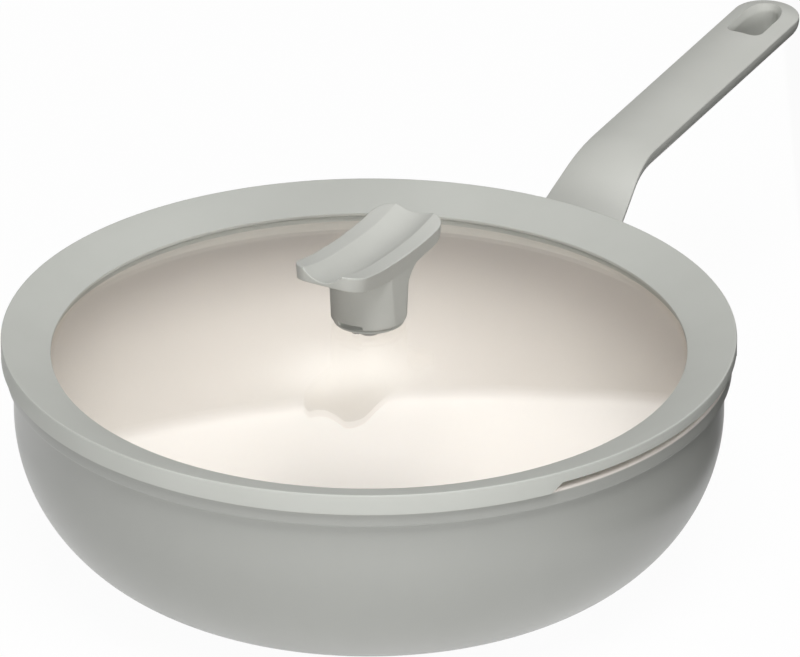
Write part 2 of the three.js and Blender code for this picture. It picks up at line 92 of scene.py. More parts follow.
def shell(name, grid, wrap_rows=False):
    """A closed piece from rows and columns of points; rows that don't wrap get a cap at each end."""
    rows, columns = grid.shape[:2]
    faces = grid_faces(rows, columns, wrap_rows).tolist()
    if not wrap_rows:
        faces += [list(range(columns))[::-1], list(range((rows - 1) * columns, rows * columns))]
    mesh = bpy.data.meshes.new(name)
    mesh.from_pydata(grid.reshape(-1, 3).tolist(), [], faces)
    tidy_mesh(mesh, SHARP)
    piece = bpy.data.objects.new(name, mesh)
    bpy.context.scene.collection.objects.link(piece)
    return piece


def tidy_mesh(mesh, sharp):
    """Merge points that fall together, turn the faces outwards, and shade smooth up to a sharp angle."""
    work = bmesh.new()
    work.from_mesh(mesh)
    bmesh.ops.remove_doubles(work, verts=work.verts, dist=MERGE)
    bmesh.ops.dissolve_degenerate(work, edges=work.edges, dist=SLIVER)
    if work.calc_volume(signed=True) < 0:
        bmesh.ops.reverse_faces(work, faces=work.faces)
    work.to_mesh(mesh)
    work.free()
    mesh.shade_smooth()
    mesh.set_sharp_from_angle(angle=math.radians(sharp))


# %% [markdown]
# Two moves make most profiles: an arc, and a corner eased by a short curve so that it catches light
# as a moulded or pressed edge does. A turned piece carries such a profile round the axis. Holes are
# cut afterwards with a Boolean whose cutter is itself a numpy shell; the result is kept as plain mesh.


# %% Profiles, turning and cutting
def arc(cx, cy, rx, ry, start, end, count):
    """Points (cx + rx cos a, cy + ry sin a) for a from start to end, in degrees."""
    a = np.radians(np.linspace(start, end, count))
    return np.stack([cx + rx * np.cos(a), cy + ry * np.sin(a)], -1)


def eased(before, corner, after, setback, count=5):
    """A corner C replaced by (1-t)^2 P + 2t(1-t) C + t^2 Q, with P and Q set back along its sides."""
    def toward(end):
        side = end - corner
        return corner + side * (setback / np.linalg.norm(side, axis=-1, keepdims=True))
    t = np.linspace(0, 1, count)[:, None]
    p, q = toward(before)[..., None, :], toward(after)[..., None, :]
    return (1 - t) ** 2 * p + 2 * t * (1 - t) * corner[..., None, :] + t ** 2 * q


def soften(corners, setbacks, closed=True):
    """An outline with each corner eased by its own setback; the ends of an open one stay as they are."""
    corners = np.asarray(corners, float)
    sides = np.asarray(setbacks, float)[..., None]
    curve = eased(np.roll(corners, 1, 0), corners, np.roll(corners, -1, 0), sides)
    if closed:
        return curve.reshape(-1, 2)
    return np.concatenate([corners[:1], curve[1:-1].reshape(-1, 2), corners[-1:]])


def turned(profile, angles):
    """A profile of radius and height carried round Z: x = r cos a, y = r sin a.

    It may change with the angle; then it has one column for each angle.
    """
    r, z = np.broadcast_arrays(profile[..., 0], profile[..., 1])
    a = angles if profile.ndim == 3 else angles[None, :]
    if profile.ndim == 2:
        r, z = r[:, None] + 0 * a, z[:, None] + 0 * a
    return np.stack([r * np.cos(a), r * np.sin(a), z], -1)


def full_turn(count):
    """Angles of one turn, with the last step left open."""
    return np.linspace(0, 2 * math.pi, count, endpoint=False)


def combine(piece, tool, how="DIFFERENCE"):
    """Cut a tool out of a piece, or join it on, and keep the result as the piece's own mesh."""
    modifier = piece.modifiers.new("combine", "BOOLEAN")
    modifier.operation, modifier.object, modifier.solver = how, tool, "EXACT"
    keep_result(piece)
    bpy.data.objects.remove(tool)


def keep_result(piece):
    """Replace a piece's mesh by what its modifiers make of it."""
    seen = piece.evaluated_get(bpy.context.evaluated_depsgraph_get())
    mesh = bpy.data.meshes.new_from_object(seen)
    piece.modifiers.clear()
    piece.data = mesh


def dress(piece, body, node, material):
    """Let a finished piece ride on its body in place of a CAD node, with one finish."""
    piece.data.materials.clear()
    piece.data.materials.append(material)
    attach(piece, body)
    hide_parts(node)
    print(piece.name, "stands for", node, "with", len(piece.data.polygons), "faces")


# %% [markdown]
# ## Shared effects
# Three effects recur: the fine grain that a mould or a sprayed coat leaves, slow cloudy changes of
# tone from handling, and the concentric lines of a turned metal face. Each is a node group with named
# sockets, built once and placed in every finish that needs it with that finish's own scale.


# %% Node helpers
def link(tree, source, target):
    tree.links.new(source, target)


def effect(name, inputs, outputs):
    """An empty node group; inputs have a name and a default, None for a vector; outputs are values."""
    group = bpy.data.node_groups.new(name, "ShaderNodeTree")
    for label, default in inputs:
        kind = "NodeSocketVector" if default is None else "NodeSocketFloat"
        socket = group.interface.new_socket(label, in_out="INPUT", socket_type=kind)
        if default is not None:
            socket.default_value = default
    for label in outputs:
        group.interface.new_socket(label, in_out="OUTPUT", socket_type="NodeSocketFloat")
    return group, group.nodes.new("NodeGroupInput"), group.nodes.new("NodeGroupOutput")


def noise(tree, vector, scale, detail=2.0):
    node = tree.nodes.new("ShaderNodeTexNoise")
    node.inputs["Detail"].default_value = detail
    link(tree, vector, node.inputs["Vector"])
    if isinstance(scale, (int, float)):
        node.inputs["Scale"].default_value = scale
    else:
        link(tree, scale, node.inputs["Scale"])
    return node.outputs["Fac"]


def remap(tree, value, low, high, to_low=0.0, to_high=1.0):
    node = tree.nodes.new("ShaderNodeMapRange")
    sockets = ("From Min", "From Max", "To Min", "To Max")
    for socket, number in zip(sockets, (low, high, to_low, to_high)):
        node.inputs[socket].default_value = number
    link(tree, value, node.inputs["Value"])
    return node.outputs["Result"]


def mixed(tree, factor, first, second):
    """A colour between two, each a plain colour or a socket."""
    node = tree.nodes.new("ShaderNodeMix")
    node.data_type = "RGBA"
    link(tree, factor, node.inputs["Factor"])
    for socket, colour in ((node.inputs[6], first), (node.inputs[7], second)):
        if isinstance(colour, tuple):
            socket.default_value = (*colour, 1.0)
        else:
            link(tree, colour, socket)
    return node.outputs[2]


def blended(tree, factor, first, second):
    """A value between two sockets."""
    node = tree.nodes.new("ShaderNodeMix")
    link(tree, factor, node.inputs["Factor"])
    link(tree, first, node.inputs["A"])
    link(tree, second, node.inputs["B"])
    return node.outputs["Result"]


# %% [markdown]
# The groups themselves are short. Grain is one noise, whose highest peaks count as specks. Handling is
# a slow noise stretched to the full range. Turned lines are a noise of the distance from the axis
# alone, so every line runs round.

# %% The three effects
fine_grain, source, sink = effect("fine grain", [("Vector", None), ("Grains per metre", 2500.0)],
                                  ["Height", "Specks"])
height = noise(fine_grain, source.outputs["Vector"], source.outputs["Grains per metre"], 3.0)
link(fine_grain, height, sink.inputs["Height"])
link(fine_grain, remap(fine_grain, height, 0.63, 0.72), sink.inputs["Specks"])

handling, source, sink = effect("handling", [("Vector", None), ("Clouds per metre", 30.0)], ["Tone"])
clouds = noise(handling, source.outputs["Vector"], source.outputs["Clouds per metre"], 4.0)
link(handling, remap(handling, clouds, 0.3, 0.7), sink.inputs["Tone"])

turned_lines, source, sink = effect("turned lines", [("Vector", None), ("Lines per metre", 2400.0)],
                                    ["Height", "Shade"])
flat = turned_lines.nodes.new("ShaderNodeVectorMath")
flat.operation = "MULTIPLY"
flat.inputs[1].default_value = (1, 1, 0)
link(turned_lines, source.outputs["Vector"], flat.inputs[0])
radius = turned_lines.nodes.new("ShaderNodeVectorMath")
radius.operation = "LENGTH"
link(turned_lines, flat.outputs["Vector"], radius.inputs[0])
lines = noise(turned_lines, radius.outputs["Value"], source.outputs["Lines per metre"], 2.0)
link(turned_lines, lines, sink.inputs["Height"])
link(turned_lines, remap(turned_lines, lines, 0.3, 0.7), sink.inputs["Shade"])
print("effects:", [g.name for g in (fine_grain, handling, turned_lines)])

# %% [markdown]
# ## Finishes
# All the grey parts share one warm light grey, but they don't shine alike: the handle and knob are a
# matt soft-touch moulding, the lid's rim is silicone, softer still, and the pan's coat is a satin
# spray. A small function builds such a grained finish from its colour, roughness and grain, so that
# the differences between the greys are a few numbers side by side.


# %% Grained finishes
def place(tree, group, **values):
    """A node group fed with Object coordinates, with its numbers set."""
    node = tree.nodes.new("ShaderNodeGroup")
    node.node_tree = group
    coords = tree.nodes.get("Texture Coordinate") or tree.nodes.new("ShaderNodeTexCoord")
    link(tree, coords.outputs["Object"], node.inputs["Vector"])
    for label, number in values.items():
        node.inputs[label.replace("_", " ")].default_value = number
    return node


def bumped(tree, height, strength, distance):
    bump = tree.nodes.new("ShaderNodeBump")
    bump.inputs["Strength"].default_value = strength
    bump.inputs["Distance"].default_value = distance
    link(tree, height, bump.inputs["Height"])
    return bump.outputs["Normal"]


def finish(name):
    material = bpy.data.materials.new(name)
    material.use_nodes = True
    return material, material.node_tree, material.node_tree.nodes["Principled BSDF"]


GRAIN_DEPTH, LINE_DEPTH, COAT_DEPTH = 0.1 * MM, 0.05 * MM, 0.08 * MM


def grained(name, light, dark, speck, rough, grains, relief):
    """A pigmented surface: its tone drifts from light to dark, specks dot it, and roughness follows."""
    material, tree, shader = finish(name)
    grain = place(tree, fine_grain, Grains_per_metre=grains)
    tone = place(tree, handling)
    clouded = mixed(tree, tone.outputs["Tone"], light, dark)
    link(tree, mixed(tree, grain.outputs["Specks"], clouded, speck), shader.inputs["Base Color"])
    link(tree, remap(tree, tone.outputs["Tone"], 0, 1, *rough), shader.inputs["Roughness"])
    link(tree, bumped(tree, grain.outputs["Height"], relief, GRAIN_DEPTH), shader.inputs["Normal"])
    return material


moulded_grey = grained("moulded grey", light=(0.535, 0.54, 0.505), dark=(0.515, 0.52, 0.485),
                       speck=(0.49, 0.495, 0.46), rough=(0.5, 0.58), grains=2600.0, relief=0.25)
silicone_grey = grained("silicone grey", light=(0.52, 0.53, 0.495), dark=(0.50, 0.51, 0.475),
                        speck=(0.535, 0.545, 0.51), rough=(0.58, 0.66), grains=4200.0, relief=0.12)
print("finishes:", moulded_grey.name, "and", silicone_grey.name)

# %% [markdown]
# The pan carries two finishes on one skin: satin grey outside and cream ceramic inside, which wraps
# over the rim. They could be two meshes, but one closed skin with a painted attribute keeps the bowl
# a single piece. The attribute named lining is 1 inside and 0 outside and blends the two.

# %% Coat and lining
COAT_LIGHT, COAT_DARK, COAT_SPECK = (0.38, 0.385, 0.362), (0.367, 0.372, 0.35), (0.405, 0.41, 0.387)
CREAM_LIGHT, CREAM_DARK, CREAM_SPECK = (0.92, 0.857, 0.793), (0.9, 0.837, 0.773), (0.88, 0.807, 0.738)
SATIN, COAT_RELIEF = (0.3, 0.36), 0.12
pan_finish, tree, shader = finish("pan coat and lining")
lining = tree.nodes.new("ShaderNodeAttribute")
lining.attribute_name = "lining"
inside = lining.outputs["Fac"]
coat_grain = place(tree, fine_grain, Grains_per_metre=3400.0)
ceramic_grain = place(tree, fine_grain, Grains_per_metre=900.0)
tone = place(tree, handling, Clouds_per_metre=18.0)
coat = mixed(tree, tone.outputs["Tone"], COAT_LIGHT, COAT_DARK)
coat = mixed(tree, coat_grain.outputs["Specks"], coat, COAT_SPECK)
ceramic = mixed(tree, tone.outputs["Tone"], CREAM_LIGHT, CREAM_DARK)
ceramic = mixed(tree, ceramic_grain.outputs["Specks"], ceramic, CREAM_SPECK)
link(tree, mixed(tree, inside, coat, ceramic), shader.inputs["Base Color"])
link(tree, remap(tree, tone.outputs["Tone"], 0, 1, *SATIN), shader.inputs["Roughness"])
skin = blended(tree, inside, coat_grain.outputs["Height"], ceramic_grain.outputs["Height"])
link(tree, bumped(tree, skin, COAT_RELIEF, COAT_DEPTH), shader.inputs["Normal"])
print("pan finish uses", len(tree.nodes), "nodes")

# %% [markdown]
# Metals are the hidden side of the pan: the steel plate for induction hobs, the screws and washers,
# the cast bracket and the brass insert. Turned lines vary their shade and roughness.


# %% Metals
def metal(name, light, dark, rough, lines, relief=0.2):
    """A turned metal whose lines change its shade, roughness and relief."""
    material, tree, shader = finish(name)
    marks = place(tree, turned_lines, Lines_per_metre=lines)
    link(tree, mixed(tree, marks.outputs["Shade"], dark, light), shader.inputs["Base Color"])
    link(tree, remap(tree, marks.outputs["Shade"], 0, 1, *rough), shader.inputs["Roughness"])
    link(tree, bumped(tree, marks.outputs["Height"], relief, LINE_DEPTH), shader.inputs["Normal"])
    shader.inputs["Metallic"].default_value = 1.0
    return material


steel = metal("brushed steel", light=(0.66, 0.66, 0.67), dark=(0.52, 0.52, 0.53), rough=(0.42, 0.28),
              lines=2400.0)
cast = metal("cast aluminium", light=(0.62, 0.63, 0.64), dark=(0.5, 0.51, 0.52), rough=(0.62, 0.5),
             lines=700.0, relief=0.4)
brass = metal("turned brass", light=(0.66, 0.5, 0.24), dark=(0.55, 0.4, 0.18), rough=(0.4, 0.3),
              lines=3000.0)
print("metals:", steel.name, cast.name, brass.name)

# %% [markdown]
# Clear glass needs one studio trick. A path tracer stops most light at a refracting sheet, so the pan
# would be dark inside. Shadow and diffuse rays therefore pass straight through, while the camera still
# sees true refraction and reflection. What slants in is weakened, because real glass reflects much of
# it; that leaves the wall darker than the floor. Faint smears from wiping change the roughness a little.

# %% Clear glass
GLASS_IOR, SMEAR_ROUGH = 1.5, 0.03
SLANT_FROM, SLANT_TO, SLANT_PASS = 0.55, 0.9, 0.1
clear_glass, tree, shader = finish("clear glass")
smears = place(tree, handling, Clouds_per_metre=14.0)
link(tree, mixed(tree, smears.outputs["Tone"], (0.985, 0.995, 0.99), (0.97, 0.985, 0.975)),
     shader.inputs["Base Color"])
link(tree, remap(tree, smears.outputs["Tone"], 0, 1, 0.0, SMEAR_ROUGH), shader.inputs["Roughness"])
shader.inputs["Transmission Weight"].default_value = 1.0
shader.inputs["IOR"].default_value = GLASS_IOR
rays = tree.nodes.new("ShaderNodeLightPath")
passing = tree.nodes.new("ShaderNodeMath")
passing.operation = "MAXIMUM"
link(tree, rays.outputs["Is Shadow Ray"], passing.inputs[0])
link(tree, rays.outputs["Is Diffuse Ray"], passing.inputs[1])
slant = tree.nodes.new("ShaderNodeLayerWeight")
through = tree.nodes.new("ShaderNodeBsdfTransparent")
passed = remap(tree, slant.outputs["Facing"], SLANT_FROM, SLANT_TO, 1.0, SLANT_PASS)
link(tree, passed, through.inputs["Color"])
either = tree.nodes.new("ShaderNodeMixShader")
link(tree, passing.outputs["Value"], either.inputs["Fac"])
link(tree, shader.outputs["BSDF"], either.inputs[1])
link(tree, through.outputs["BSDF"], either.inputs[2])
link(tree, either.outputs["Shader"], tree.nodes["Material Output"].inputs["Surface"])
print("glass lets shadow and diffuse rays through")

# %% [markdown]
# ## The bowl
# The real bowl is pressed from a disc of aluminium and has a proud band round its rim. Its section is
# a few straight stretches and two large arcs, so it is a turned profile: up the outside, over the rim
# and down the inside. The lining attribute follows the profile: the cream wraps over the rim's rounded
# outer edge and ends there.

# %% Pan
CORNER_R, WALL, FLOOR_T = 67.5 * MM, 2.5 * MM, 4.5 * MM
BAND_H, BAND_PROUD, BAND_EASE = 6.8 * MM, 2.9 * MM, 0.9 * MM
OUTER_EASE, INNER_EASE = 1.5 * MM, 2.4 * MM
ROUND_STEPS, ARC_STEPS = 288, 60
LINING_SHARE = 0.9
pan_r = rim_r - BAND_PROUD
mouth_r = pan_r - WALL
inner_corner = CORNER_R - WALL
flat_r = pan_r - CORNER_R
recess_r, recess_z = disc_r + FIT, disc_t + FIT
base = soften([(0, recess_z), (recess_r, recess_z), (recess_r, 0), (flat_r, 0)],
              [0, 0.2 * MM, 0.4 * MM, 0], closed=False)
outside = arc(flat_r, CORNER_R, CORNER_R, CORNER_R, -89, 0, ARC_STEPS)
band = soften([(pan_r, CORNER_R), (pan_r, rim_z - BAND_H), (rim_r, rim_z - BAND_H), (rim_r, rim_z)],
              [0, 0.5 * MM, BAND_EASE, 0], closed=False)[1:-1]
over = soften([(rim_r, rim_z - BAND_H / 2), (rim_r, rim_z), (mouth_r, rim_z), (mouth_r, rim_z - BAND_H)],
              [0, OUTER_EASE, INNER_EASE, 0], closed=False)
within = arc(flat_r, FLOOR_T + inner_corner, inner_corner, inner_corner, 0, -90, ARC_STEPS)
bowl = np.concatenate([base, outside, band, over, within, [(0, FLOOR_T)]])
pan = shell("pan_bowl", turned(bowl, full_turn(ROUND_STEPS)))
points = np.zeros(len(pan.data.vertices) * 3)
pan.data.vertices.foreach_get("co", points)
x, y, z = points.reshape(-1, 3).T
below_corner = np.clip(CORNER_R - z, 0, None)
wall_middle = flat_r + np.sqrt(np.clip((CORNER_R - WALL / 2) ** 2 - below_corner ** 2, 0, None))
is_inside = (np.hypot(x, y) < wall_middle) & (z > FLOOR_T - FIT)
is_lining = is_inside | (z > rim_z - LINING_SHARE * OUTER_EASE)
paint = pan.data.attributes.new("lining", "FLOAT", "POINT")
paint.data.foreach_set("value", is_lining.astype(np.float32))
dress(pan, "pan", "pan_body", pan_finish)

# %% [markdown]
# The steel plate in the base is a plain disc with a broken edge, so a short turned profile is enough.
# It stays on the floor plane, because the pan stands on it.

# %% Base plate
plate_edge = soften([(0, 0), (disc_r, 0), (disc_r, disc_t), (0, disc_t)], [0, 0.3 * MM, 0.2 * MM, 0],
                    closed=False)
plate = shell("base_plate", turned(plate_edge, full_turn(ROUND_STEPS // 2)))
dress(plate, "pan", "induction_disc", steel)

# %% [markdown]
# ## The handle
# The handle is one moulding that leaves the wall steeply, bends, and runs out level to a hanging hole.
# A section with a crowned top, short upright edges and a swelling underside is carried along that
# line: wide and bell-shaped at the root, narrower and half oval on the grip, and drawn in to a round
# tip. The stations crowd together in the bend and at the tip, where the shape changes fastest.

# %% Handle line
ROOT_DROP, ROOT_RUN, BEND_R = 23.9 * MM, 49.6 * MM, 41.2 * MM
ROOT_SLOPE, GRIP_SLOPE = math.radians(35.6), math.radians(6.5)
TIP_L, TIP_BULGE, INTO_WALL = 12.4 * MM, 0.5 * MM, 18 * MM
ROOT_STEPS, BEND_STEPS, GRIP_STEPS, TIP_STEPS = 26, 18, 34, 22
root = np.array([pan_r, rim_z - ROOT_DROP])
bend = root + ROOT_RUN * np.array([1, math.tan(ROOT_SLOPE)])
bend_back = BEND_R * math.tan((ROOT_SLOPE - GRIP_SLOPE) / 2)
GRIP_REACH = (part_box("handle_grip")[1].x - bend[0]) / math.cos(GRIP_SLOPE) - TIP_BULGE


def along(start, slope, steps):
    """Points start + s (cos slope, sin slope), with the slope repeated beside each."""
    line = start + np.outer(steps, [math.cos(slope), math.sin(slope)])
    return np.column_stack([line, np.full(len(steps), slope)])


root_l = ROOT_RUN / math.cos(ROOT_SLOPE) - bend_back
turn = bend + bend_back * np.array([math.cos(GRIP_SLOPE), math.sin(GRIP_SLOPE)])
centre = turn + BEND_R * np.array([math.sin(GRIP_SLOPE), -math.cos(GRIP_SLOPE)])
slopes = np.linspace(ROOT_SLOPE, GRIP_SLOPE, BEND_STEPS)[1:-1]
bow = np.column_stack([centre[0] - BEND_R * np.sin(slopes), centre[1] + BEND_R * np.cos(slopes), slopes])
tip_turn = np.radians(np.linspace(0, 90, TIP_STEPS))[1:]
tip = along(bend, GRIP_SLOPE, GRIP_REACH - TIP_L + TIP_L * np.sin(tip_turn))
rising = along(root, ROOT_SLOPE, np.linspace(-INTO_WALL, root_l, ROOT_STEPS))
level = along(bend, GRIP_SLOPE, np.linspace(bend_back, GRIP_REACH - TIP_L, GRIP_STEPS))
line = np.concatenate([rising, bow, level, tip])
narrow = np.concatenate([np.ones(len(line) - len(tip)), np.cos(tip_turn)])
print("handle line has", len(line), "stations and ends at %.1f mm" % (line[-1, 0] / MM))

# %% [markdown]
# The section goes from the root's sizes to the grip's along the S-curve 3s^2 - 2s^3, so the moulding
# shows no kink. Its top is a parabola and its underside a power of a sine. Where the two meet, a small
# ease keeps the edge from being razor sharp.

# %% Handle section
ROOT_HALF_W, GRIP_HALF_W, CROWN, EDGE_WALL = 20 * MM, 14.74 * MM, 2.5 * MM, 1.0 * MM
ROOT_DEPTH, GRIP_DEPTH, ROOT_SWELL, GRIP_SWELL = 14.5 * MM, 12 * MM, 1.5, 0.5
BLEND_FROM, BLEND_TO = 11.5 * MM, 59.7 * MM
EDGE_EASE, EASE_SHARE = 0.45 * MM, 0.4
CROWN_STEPS, BELLY_STEPS = 25, 37
s = np.clip((line[:, 0] - pan_r - BLEND_FROM) / (BLEND_TO - BLEND_FROM), 0, 1)
blend = (s * s * (3 - 2 * s))[:, None]
half_w = (ROOT_HALF_W + (GRIP_HALF_W - ROOT_HALF_W) * blend) * narrow[:, None]
belly = (ROOT_DEPTH + (GRIP_DEPTH - ROOT_DEPTH) * blend - EDGE_WALL) * np.sqrt(narrow)[:, None]
swell = ROOT_SWELL + (GRIP_SWELL - ROOT_SWELL) * blend
u = np.linspace(1, -1, CROWN_STEPS)[None, :]
top = np.stack([half_w * u, CROWN * narrow[:, None] ** 2 * (1 - u * u)], -1)
v = np.radians(np.linspace(180, 360, BELLY_STEPS))[None, :]
under = np.stack([half_w * np.cos(v), -EDGE_WALL - belly * (np.sin(v) ** 2) ** swell], -1)
ease = np.minimum(EDGE_EASE, EASE_SHARE * np.abs(half_w) * 2 / (CROWN_STEPS - 1))
left = eased(top[:, -2], top[:, -1], under[:, 0], ease)
right = eased(under[:, -1], top[:, 0], top[:, 1], ease)
section = np.concatenate([right, top[:, 1:-1], left, under], axis=1)
lift = section[..., 1]
rise = line[:, 2, None]
handle_grid = np.stack([line[:, 0, None] - lift * np.sin(rise), section[..., 0],
                        line[:, 1, None] + lift * np.cos(rise)], -1)
handle = shell("handle", handle_grid)
print("handle loft:", handle_grid.shape[:2])

# %% [markdown]
# Four things are cut out of that loft: the pan's skin with a seat gap, so that the root hugs the
# curved wall, the hanging hole with its bevelled mouth, the pocket round the bracket, and the stepped
# room of the screw in the underside. The hole narrows a little downwards, because a mould has to open.
# Each tool is a shell set in the root's or the grip's own frame.


# %% Handle cuts
def set_in(grid, origin, slope):
    """Turn a grid by a slope about Y and move it to a point of the handle's line."""
    x, y, z = np.moveaxis(grid, -1, 0)
    c, d = math.cos(slope), math.sin(slope)
    return np.stack([origin[0] + x * c - z * d, y, origin[1] + x * d + z * c], -1)


def block(x, y, z):
    """A box between pairs of x, y and z, as two rings of four corners."""
    ring = [(x[0], y[0]), (x[1], y[0]), (x[1], y[1]), (x[0], y[1])]
    return np.array([[(px, py, pz) for px, py in ring] for pz in z], float)


skin_arc = arc(flat_r, CORNER_R, CORNER_R + FIT, CORNER_R + FIT, -90, 0, ARC_STEPS)
skin = np.concatenate([[(0, -FIT)], skin_arc, [(pan_r + FIT, 2 * rim_z), (0, 2 * rim_z)]])
combine(handle, shell("skin_tool", turned(skin, full_turn(ROUND_STEPS))))

HANG_L, HANG_HALF_W, HANG_CORNER_R, HANG_TO_TIP = 29 * MM, 8.7 * MM, 4.5 * MM, 4.8 * MM
HANG_BEVEL, HANG_BEVEL_H, HANG_DRAFT = 1.9 * MM, 3.6 * MM, 1.0 * MM


def hang_outline(inset):
    """Half an oval towards the tip and two round corners towards the pan, all drawn in by an inset."""
    w, r = HANG_HALF_W - inset, HANG_CORNER_R
    end = GRIP_REACH - HANG_TO_TIP - inset
    start = GRIP_REACH - HANG_TO_TIP - HANG_L + inset
    corners = [arc(start + r, w - r, r, r, 90, 180, 9), arc(start + r, r - w, r, r, 180, 270, 9)]
    return np.concatenate([arc(end - TIP_L, 0, TIP_L, w, -90, 90, 33), *corners])


# From below the grip to above its crown: the drafted wall, an eased corner and the bevel.
bevel_foot = CROWN - HANG_BEVEL_H
rings = [(-1.2 * GRIP_DEPTH, HANG_BEVEL + HANG_DRAFT), (bevel_foot - 0.8 * MM, HANG_BEVEL),
         (bevel_foot - 0.2 * MM, 0.97 * HANG_BEVEL), (bevel_foot + 0.6 * MM, 0.83 * HANG_BEVEL),
         (2 * CROWN, -HANG_BEVEL * CROWN / HANG_BEVEL_H)]
mouth = np.stack([np.insert(hang_outline(inset), 2, level, axis=1) for level, inset in rings])
combine(handle, shell("hang_tool", set_in(mouth, bend, GRIP_SLOPE)))

pad_low, pad_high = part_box("handle_bracket")
PAD_H, PAD_BELOW_ROOT, PAD_T = 7 * MM, 2.6 * MM, 4 * MM
TONGUE_HALF_W, TONGUE_T, TONGUE_L, TONGUE_DEPTH = 6 * MM, 5 * MM, 36 * MM, 3.2 * MM
pad_top = root[1] - PAD_BELOW_ROOT
pad = block((flat_r, pan_r + PAD_T + FIT), (pad_low.y - FIT, pad_high.y + FIT),
            (pad_top - PAD_H - FIT, pad_top + FIT))
combine(handle, shell("pad_tool", pad))
tongue = block((-TONGUE_L, TONGUE_L + FIT), (-TONGUE_HALF_W - FIT, TONGUE_HALF_W + FIT),
               (-TONGUE_DEPTH - TONGUE_T - FIT, -TONGUE_DEPTH + FIT))
combine(handle, shell("tongue_tool", set_in(tongue, root, ROOT_SLOPE)))

SCREW_FROM_WALL, SHANK_R, HEAD_R, SHOULDER_T = 25 * MM, 2.5 * MM, 4.6 * MM, 2 * MM
ROOM_FOOT, SHANK_END = -40 * MM, -TONGUE_DEPTH - 1 * MM
shoulder = -TONGUE_DEPTH - TONGUE_T - FIT - SHOULDER_T
room = np.array([(0, ROOM_FOOT), (HEAD_R + 2 * FIT, ROOM_FOOT), (HEAD_R + 2 * FIT, shoulder),
                 (SHANK_R + FIT, shoulder), (SHANK_R + FIT, SHANK_END), (0, SHANK_END)])
room_grid = turned(room, full_turn(64)) + np.array([SCREW_FROM_WALL, 0, 0])
combine(handle, shell("screw_tool", set_in(room_grid, root, ROOT_SLOPE)))
tidy_mesh(handle.data, SHARP)
dress(handle, "pan", "handle_grip", moulded_grey)

# %% [markdown]
# ## The lid's rim
# The rim is a silicone ring: a broad face that falls inwards, a skirt over the pan's band, a groove
# that grips the glass and a plug that reaches into the mouth. Two stretches of the skirt are raised
# for pouring. Elsewhere its foot laps over the pan's rounded edge, so the cream shows only in the gaps.
# Both sections have the same corners, so the ring is one turned surface whose profile slides from the
# plain section to the raised one at the leaning ends of each gap.

# %% Lid rim
RING_W, RING_DROP, LIP_T, GLASS_T, DOME_RISE = 19.8 * MM, 7 * MM, 1 * MM, 4 * MM, 13.2 * MM
MOUTH_PLAY, PLUG_CHAMFER, PLUG_INSET = 0.9 * MM, 2.4 * MM, 1.2 * MM
POUR_HALF, POUR_SLANT, POUR_H, POUR_CHANNEL_W = 29.5, 2.0, 2.8 * MM, 3.4 * MM
SKIRT_LAP, POUR_CHAMFER = 0.9 * MM, 1 * MM
RING_STEPS, END_SPAN, END_STEPS = 240, 2.2, 23
lip_r, lip_z, seat_z = lid_r - RING_W, lid_z - RING_DROP, rim_z + FIT
dome_r = (lip_r ** 2 + DOME_RISE ** 2) / (2 * DOME_RISE)
glass_z = lip_z - LIP_T - FIT + DOME_RISE
plug_in, plug_out = lip_r + PLUG_INSET, mouth_r - MOUTH_PLAY
GRIPPED = 0.05 * MM
RING_EASES = np.array([0.1, 0.2, 0.2, 0.4, 0.6, 0.6, 0.6, 0.3, 0.3, 0.4, 1.0, 0.3]) * MM


def dome_z(out, r):
    """Height of a sphere of radius r about the dome's centre, at a distance out from the axis."""
    return glass_z - dome_r + np.sqrt(r ** 2 - out ** 2)


def rim_section(bottom, reach, chamfer, lap):
    """The ring's corners, from the lip's underside round by the groove, plug, skirt and top face.

    The skirt's foot lies on the level named bottom and drops by lap towards its outer edge.
    """
    groove_r = glass_r + FIT
    over, below = dome_r + GRIPPED, dome_r - GLASS_T - GRIPPED
    corners = [(lip_r, dome_z(lip_r, over)), (groove_r, dome_z(groove_r, over)),
               (groove_r, dome_z(groove_r, below)), (plug_in, dome_z(plug_in, below)), (plug_in, plug_z),
               (reach - chamfer, plug_z), (reach, plug_z + chamfer), (reach, bottom),
               (rim_r - OUTER_EASE, bottom), (lid_r, bottom - lap),
               (lid_r, lid_z), (lip_r, lip_z)]
    return soften(corners, RING_EASES)


plain = rim_section(seat_z, plug_out, PLUG_CHAMFER, SKIRT_LAP)
raised = rim_section(seat_z + POUR_H, plug_out - POUR_CHANNEL_W, POUR_CHAMFER, 0)
gap_ends = np.array([-90 - POUR_HALF, -90 + POUR_HALF, 90 - POUR_HALF, 90 + POUR_HALF])
near_ends = np.add.outer(gap_ends, np.linspace(-END_SPAN, END_SPAN, END_STEPS)).ravel()
even_steps = np.linspace(-180, 180, RING_STEPS, endpoint=False)
degrees = np.unique(np.round(np.concatenate([even_steps, near_ends]), 6))
to_middle = np.abs(np.abs(degrees) - 90)
raise_by = np.clip((POUR_HALF - to_middle) / POUR_SLANT, 0, 1)[None, :, None]
ring = plain[:, None, :] * (1 - raise_by) + raised[:, None, :] * raise_by
round_angles = np.broadcast_to(np.radians(degrees), ring.shape[:2])
rim = shell("lid_ring", turned(ring, round_angles), wrap_rows=True)
dress(rim, "lid", "lid_rim", silicone_grey)

# %% [markdown]
# ## The glass
# The glass is a slice of a sphere with an even thickness. It is turned from two arcs about one centre,
# with a rounded outer edge inside the rim's groove, and then drilled for the steam vent that lies
# hidden under the knob's foot.

